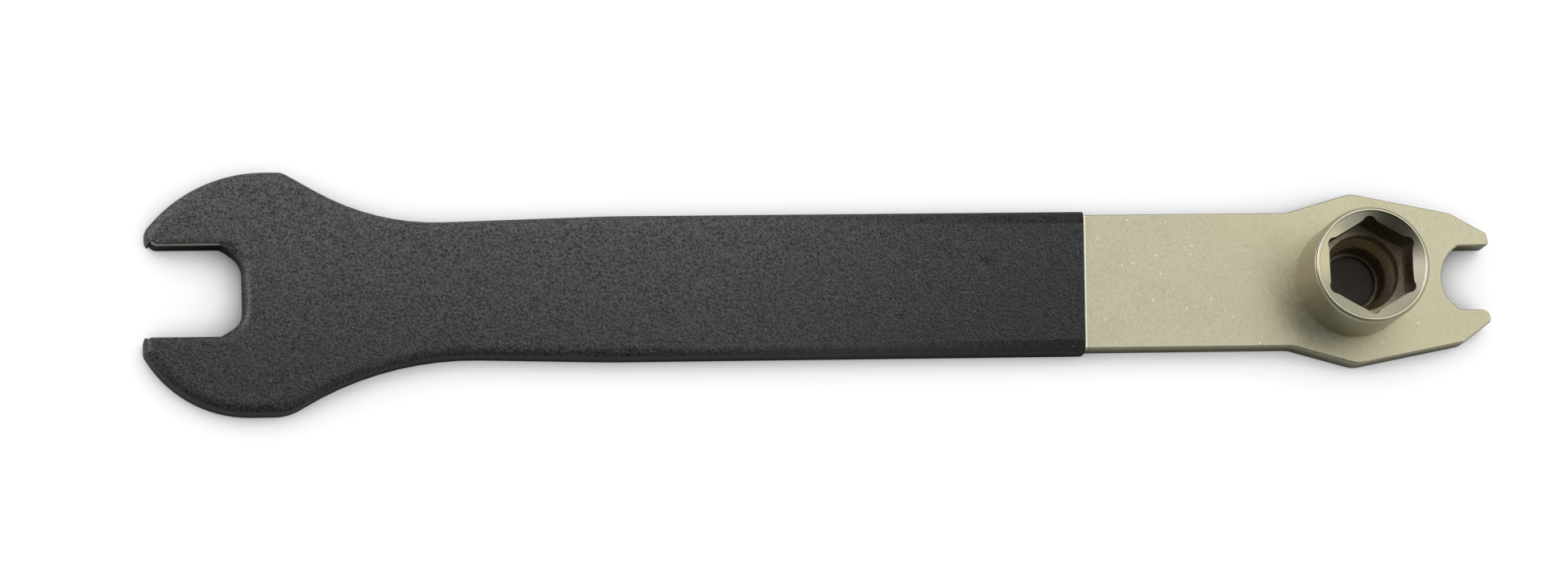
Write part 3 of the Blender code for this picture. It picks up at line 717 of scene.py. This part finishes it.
def socketTree():
    # turns the profile round the axis, broaches the hexagon into it, and finishes the shading
    tree = bpy.data.node_groups.new("turnAndBroach", "GeometryNodeTree")
    face = tree.interface
    face.new_socket(name="Geometry", in_out="INPUT", socket_type="NodeSocketGeometry")
    for name in ("Turn Steps", "Blend Steps"):
        face.new_socket(name=name, in_out="INPUT", socket_type="NodeSocketInt")
    for name in ("Path Radius", "Broach Depth", "Rim Height", "Inside Radius", "Axis X"):
        face.new_socket(name=name, in_out="INPUT", socket_type="NodeSocketFloat")
    for name in ("Plate", "Inside"):
        face.new_socket(name=name, in_out="INPUT", socket_type="NodeSocketMaterial")
    face.new_socket(name="Geometry", in_out="OUTPUT", socket_type="NodeSocketGeometry")
    given = addNode(tree, "NodeGroupInput", {}, {}).outputs

    # the turned blank
    isBroach = addNode(tree, "GeometryNodeInputNamedAttribute", {"data_type": "BOOLEAN"}, {
        "Name": "isBroach"})
    isTurned = addNode(tree, "FunctionNodeBooleanMath", {"operation": "NOT"}, {
        0: isBroach.outputs["Attribute"]})
    profile = addNode(tree, "GeometryNodeMeshToCurve", {}, {
        "Mesh": given["Geometry"], "Selection": isTurned.outputs[0]})
    path = addNode(tree, "GeometryNodeCurvePrimitiveCircle", {"mode": "RADIUS"}, {
        "Resolution": given["Turn Steps"], "Radius": given["Path Radius"]})
    blank = addNode(tree, "GeometryNodeCurveToMesh", {}, {
        "Curve": path.outputs["Curve"], "Profile Curve": profile.outputs["Curve"]})

    # the hexagon, from its floor up through the rim
    fillet = addNode(tree, "GeometryNodeInputNamedAttribute", {"data_type": "FLOAT"}, {"Name": "fillet"})
    outline = addNode(tree, "GeometryNodeMeshToCurve", {}, {
        "Mesh": given["Geometry"], "Selection": isBroach.outputs["Attribute"]})
    rounded = addNode(tree, "GeometryNodeFilletCurve", {"mode": "POLY"}, {
        "Curve": outline.outputs["Curve"], "Count": given["Blend Steps"],
        "Radius": fillet.outputs["Attribute"], "Limit Radius": True})
    floor = addNode(tree, "ShaderNodeMath", {"operation": "SUBTRACT"}, {
        0: given["Rim Height"], 1: given["Broach Depth"]})
    above = addNode(tree, "ShaderNodeMath", {"operation": "ADD"}, {
        0: given["Rim Height"], 1: given["Broach Depth"]})
    low = addNode(tree, "ShaderNodeCombineXYZ", {}, {"Z": floor.outputs[0]})
    high = addNode(tree, "ShaderNodeCombineXYZ", {}, {"Z": above.outputs[0]})
    line = addNode(tree, "GeometryNodeCurvePrimitiveLine", {}, {
        "Start": low.outputs[0], "End": high.outputs[0]})
    broach = addNode(tree, "GeometryNodeCurveToMesh", {}, {
        "Curve": line.outputs["Curve"], "Profile Curve": rounded.outputs["Curve"], "Fill Caps": True})
    cut = addNode(tree, "GeometryNodeMeshBoolean", {"operation": "DIFFERENCE", "solver": "EXACT"}, {
        "Mesh 1": blank.outputs["Mesh"], "Mesh 2": broach.outputs["Mesh"]})

    # smooth faces that break at sharp edges
    smooth = addNode(tree, "GeometryNodeSetShadeSmooth", {"domain": "FACE"}, {
        "Geometry": cut.outputs["Mesh"], "Shade Smooth": True})
    angle = addNode(tree, "GeometryNodeInputMeshEdgeAngle", {}, {})
    steep = addNode(tree, "ShaderNodeMath", {"operation": "GREATER_THAN"}, {
        0: angle.outputs["Unsigned Angle"], 1: socket["crispAngle"]})
    crisp = addNode(tree, "GeometryNodeSetShadeSmooth", {"domain": "EDGE"}, {
        "Geometry": smooth.outputs["Geometry"], "Selection": steep.outputs[0], "Shade Smooth": False})
    shift = addNode(tree, "ShaderNodeCombineXYZ", {}, {"X": given["Axis X"]})
    moved = addNode(tree, "GeometryNodeTransform", {}, {
        "Geometry": crisp.outputs["Geometry"], "Translation": shift.outputs[0]})

    # inside: near the axis, and either a wall or below the hexagon, but not the back
    place = addNode(tree, "GeometryNodeInputPosition", {}, {})
    fromAxis = addNode(tree, "ShaderNodeVectorMath", {"operation": "SUBTRACT"}, {
        0: place.outputs["Position"], 1: shift.outputs[0]})
    flat = addNode(tree, "ShaderNodeVectorMath", {"operation": "MULTIPLY"}, {
        0: fromAxis.outputs["Vector"], 1: (1.0, 1.0, 0.0)})
    radius = addNode(tree, "ShaderNodeVectorMath", {"operation": "LENGTH"}, {0: flat.outputs["Vector"]})
    near = addNode(tree, "ShaderNodeMath", {"operation": "LESS_THAN"}, {
        0: radius.outputs["Value"], 1: given["Inside Radius"]})
    normal = addNode(tree, "GeometryNodeInputNormal", {}, {})
    lean = addNode(tree, "ShaderNodeSeparateXYZ", {}, {"Vector": normal.outputs["Normal"]})
    wall = addNode(tree, "ShaderNodeMath", {"operation": "LESS_THAN"}, {
        0: lean.outputs["Z"], 1: socket["wallLean"]})
    notBack = addNode(tree, "ShaderNodeMath", {"operation": "GREATER_THAN"}, {
        0: lean.outputs["Z"], 1: -socket["wallLean"]})
    height = addNode(tree, "ShaderNodeSeparateXYZ", {}, {"Vector": place.outputs["Position"]})
    ledgeTop = addNode(tree, "ShaderNodeMath", {"operation": "ADD"}, {
        0: floor.outputs[0], 1: socket["ledgeMargin"]})
    drilled = addNode(tree, "ShaderNodeMath", {"operation": "LESS_THAN"}, {
        0: height.outputs["Z"], 1: ledgeTop.outputs[0]})
    worked = addNode(tree, "ShaderNodeMath", {"operation": "MAXIMUM"}, {
        0: wall.outputs[0], 1: drilled.outputs[0]})
    front = addNode(tree, "ShaderNodeMath", {"operation": "MULTIPLY"}, {
        0: worked.outputs[0], 1: notBack.outputs[0]})
    inside = addNode(tree, "ShaderNodeMath", {"operation": "MULTIPLY"}, {
        0: near.outputs[0], 1: front.outputs[0]})

    real = addNode(tree, "GeometryNodeRealizeInstances", {}, {"Geometry": moved.outputs["Geometry"]})
    plated = addNode(tree, "GeometryNodeSetMaterial", {}, {
        "Geometry": real.outputs["Geometry"], "Material": given["Plate"]})
    finished = addNode(tree, "GeometryNodeSetMaterial", {}, {
        "Geometry": plated.outputs["Geometry"], "Selection": inside.outputs[0], "Material": given["Inside"]})
    addNode(tree, "NodeGroupOutput", {}, {"Geometry": finished.outputs["Geometry"]})
    return tree


def buildSocket():
    # the profile lies in the plane that Curve to Mesh expects, inwards from the path
    turned = [(r - socket["pathRadius"], -z, 0.0) for r, z in socketProfile()]
    hexagon = broachOutline()
    points = turned + [(x, y, 0.0) for x, y, radius in hexagon]
    first = len(turned)
    edges = [(i, (i + 1) % first) for i in range(first)]
    edges += [(first + i, first + (i + 1) % len(hexagon)) for i in range(len(hexagon))]
    mesh = bpy.data.meshes.new("hexSocket")
    mesh.from_pydata(points, edges, [])
    mesh.attributes.new("isBroach", "BOOLEAN", "POINT").data.foreach_set(
        "value", [i >= first for i in range(len(points))])
    mesh.attributes.new("fillet", "FLOAT", "POINT").data.foreach_set(
        "value", [0.0] * first + [radius for x, y, radius in hexagon])
    piece = newObject("hexSocket", mesh)
    modifier = piece.modifiers.new("turn", "NODES")
    modifier.node_group = socketTree()
    values = {
        "Turn Steps": socket["turnSteps"], "Blend Steps": socket["blendSteps"],
        "Path Radius": socket["pathRadius"], "Broach Depth": socket["broachDepth"],
        "Rim Height": socket["rim"], "Inside Radius": socket["insideRadius"],
        "Axis X": bar["socketX"], "Plate": turnedNickel, "Inside": broachedSteel,
    }
    for item in modifier.node_group.interface.items_tree:
        if item.in_out == "INPUT" and item.name in values:
            modifier[item.identifier] = values[item.name]
    bakeModifiers(piece)
    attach(piece, "root")
    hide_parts("hex_socket")


# Table, light and camera

table = {
    "size": 8.0, "colour": "585858", "roughness": 0.9, "glow": 1.0, "glossGlow": 0.45, "glossShade": 6.0,
    "shadeReach": 0.020, "shadeRays": 32,
    "shadeCurve": [(0.0, 0.007), (0.15, 0.015), (0.50, 0.48), (0.75, 0.88), (1.0, 1.0)],
    "paintedWarmBounce": "FFE8B0", "deepBelow": 0.06, "openTint": "FFFFFF",
}


def buildTable():
    # A matt white sweep. To the camera it is plain white from its glow, and the tool's shade dims it.
    # Its own colour is darker, so that it throws little light back on the tool.
    material, tree = newMaterial("mattWhiteSweep")
    ray = addNode(tree, "ShaderNodeLightPath", {}, {}).outputs
    direct = addNode(tree, "ShaderNodeMath", {"operation": "MAXIMUM"}, {
        0: ray["Is Camera Ray"], 1: ray["Is Glossy Ray"]})
    seen = addNode(tree, "ShaderNodeMath", {"operation": "MAXIMUM"}, {
        0: direct.outputs[0], 1: ray["Is Transmission Ray"]})
    # light beside the tool, dark under it and in the socket's bore
    shade = addNode(tree, "ShaderNodeAmbientOcclusion", {"samples": table["shadeRays"]}, {
        "Distance": table["shadeReach"]})
    depth = addNode(tree, "ShaderNodeFloatCurve", {}, {"Value": shade.outputs["AO"]})
    curve = depth.mapping.curves[0]
    darkest, *between, lightest = table["shadeCurve"]
    curve.points[0].location = darkest
    curve.points[1].location = lightest
    for point in between:
        curve.points.new(*point)
    depth.mapping.update()
    # gloss sees a deeper shade and a dimmer table, so the tool's lower edges stay dark
    deeper = addNode(tree, "ShaderNodeMath", {"operation": "MULTIPLY_ADD"}, {
        0: ray["Is Glossy Ray"], 1: table["glossShade"], 2: 1.0})
    shaded = addNode(tree, "ShaderNodeMath", {"operation": "POWER"}, {
        0: depth.outputs[0], 1: deeper.outputs[0]})
    glowLevel = addNode(tree, "ShaderNodeMath", {"operation": "MULTIPLY_ADD"}, {
        0: ray["Is Glossy Ray"], 1: table["glossGlow"] - table["glow"], 2: table["glow"]})
    level = addNode(tree, "ShaderNodeMath", {"operation": "MULTIPLY"}, {
        0: shaded.outputs[0], 1: glowLevel.outputs[0]})
    glow = addNode(tree, "ShaderNodeMath", {"operation": "MULTIPLY"}, {
        0: seen.outputs[0], 1: level.outputs[0]})
    # a painted warm bounce: the deepest shade is tinted warm, as light off the steel would be
    lit = addNode(tree, "ShaderNodeMapRange", {}, {
        "Value": depth.outputs[0], "From Max": table["deepBelow"]})
    tint = addNode(tree, "ShaderNodeMix", {"data_type": "RGBA"}, {
        "Factor": lit.outputs["Result"], mixA: linear(table["paintedWarmBounce"]), mixB: linear(table["openTint"])})
    shader = addNode(tree, "ShaderNodeBsdfPrincipled", {}, {
        "Base Color": linear(table["colour"]), "Roughness": table["roughness"], "Specular IOR Level": 0.0,
        "Emission Color": tint.outputs[mixed], "Emission Strength": glow.outputs[0]})
    addNode(tree, "ShaderNodeOutputMaterial", {}, {"Surface": shader.outputs["BSDF"]})
    bpy.ops.mesh.primitive_plane_add(size=table["size"], location=(0, 0, 0))
    floor = bpy.context.object
    floor.name = "sweep"
    floor.data.materials.append(material)


lamps = {
    "overhead": {"at": (0.56, 0.48, 1.16), "size": (1.3, 0.8), "watts": 4.30, "colour": "FFFDF8"},
    "left": {"at": (-0.96, 0.18, 0.62), "size": (0.45, 0.9), "watts": 3.4, "colour": "EEE8FF"},
    "farLeft": {"at": (-0.85, 0.50, 0.48), "size": (0.6, 0.6), "watts": 5.2, "colour": "EEE8FF"},
    "right": {"at": (1.05, -0.04, 0.66), "size": (0.9, 0.6), "watts": 1.05, "colour": "FFF4DC"},
}


def buildLamps():
    # soft rectangular lamps, all turned to the middle of the tool
    for name, lamp in lamps.items():
        light = bpy.data.lights.new(name, "AREA")
        light.shape = "RECTANGLE"
        light.size, light.size_y = lamp["size"]
        light.energy = lamp["watts"]
        light.color = linear(lamp["colour"])[:3]
        holder = newObject(name, light)
        holder.location = lamp["at"]
        holder.rotation_euler = (-Vector(lamp["at"])).to_track_quat("-Z", "Y").to_euler()


tent = {
    "colour": "F4F6FF", "strength": 0.62, "openStrength": 0.02,
    "openings": [   # towards, and the degrees from there where each one starts and is fully dark
        ((-0.25, -0.45, 0.86), 42, 20),
        ((-0.25, -0.95, 0.15), 50, 30),
    ],
}


def buildTent():
    # a white tent all round, open where the camera stands and low in front, which steel shows dark
    world = bpy.data.worlds.new("whiteTent")
    scene.world = world
    world.use_nodes = True
    tree = world.node_tree
    tree.nodes.clear()
    place = addNode(tree, "ShaderNodeTexCoord", {}, {})
    level = tent["strength"] - tent["openStrength"]
    for towards, start, dark in tent["openings"]:
        facing = addNode(tree, "ShaderNodeVectorMath", {"operation": "DOT_PRODUCT"}, {
            0: place.outputs["Generated"], 1: Vector(towards).normalized()})
        closed = addNode(tree, "ShaderNodeMapRange", {"interpolation_type": "SMOOTHSTEP"}, {
            "Value": facing.outputs["Value"], "From Min": math.cos(math.radians(start)),
            "From Max": math.cos(math.radians(dark)), "To Min": 1.0, "To Max": 0.0})
        level = addNode(tree, "ShaderNodeMath", {"operation": "MULTIPLY"}, {
            0: closed.outputs["Result"], 1: level}).outputs[0]
    strength = addNode(tree, "ShaderNodeMath", {"operation": "ADD"}, {0: level, 1: tent["openStrength"]})
    cloth = addNode(tree, "ShaderNodeBackground", {}, {
        "Color": linear(tent["colour"]), "Strength": strength.outputs[0]})
    addNode(tree, "ShaderNodeOutputWorld", {}, {"Surface": cloth.outputs["Background"]})


view = {        # fitted to the tool's outline in the photograph
    "location": (-0.184098, -0.196096, 1.132584),
    "tiltDegrees": (10.066044, -8.553559, -2.137369),
    "lensMm": 161.21, "sensorMm": 36.0, "farthest": 20.0,
}


def buildCamera():
    camera = bpy.data.cameras.new("camera")
    camera.sensor_width = view["sensorMm"]
    camera.lens = view["lensMm"]
    camera.clip_end = view["farthest"]
    holder = newObject("camera", camera)
    holder.location = view["location"]
    holder.rotation_euler = [math.radians(a) for a in view["tiltDegrees"]]
    scene.camera = holder


# Everything in turn

satinNickel = makeSatinNickel()
turnedNickel = makeTurnedNickel()
broachedSteel = makeBroachedSteel()
dippedPlastic = makeDippedPlastic()
darkFlatsPainted = makeDarkFlatsPainted()
print("materials made")

buildBar()
print("bar made")

buildCoat()
print("coat made")

buildSocket()
print("socket made")

buildTable()
buildLamps()
buildTent()
buildCamera()
print("table, light and camera set")
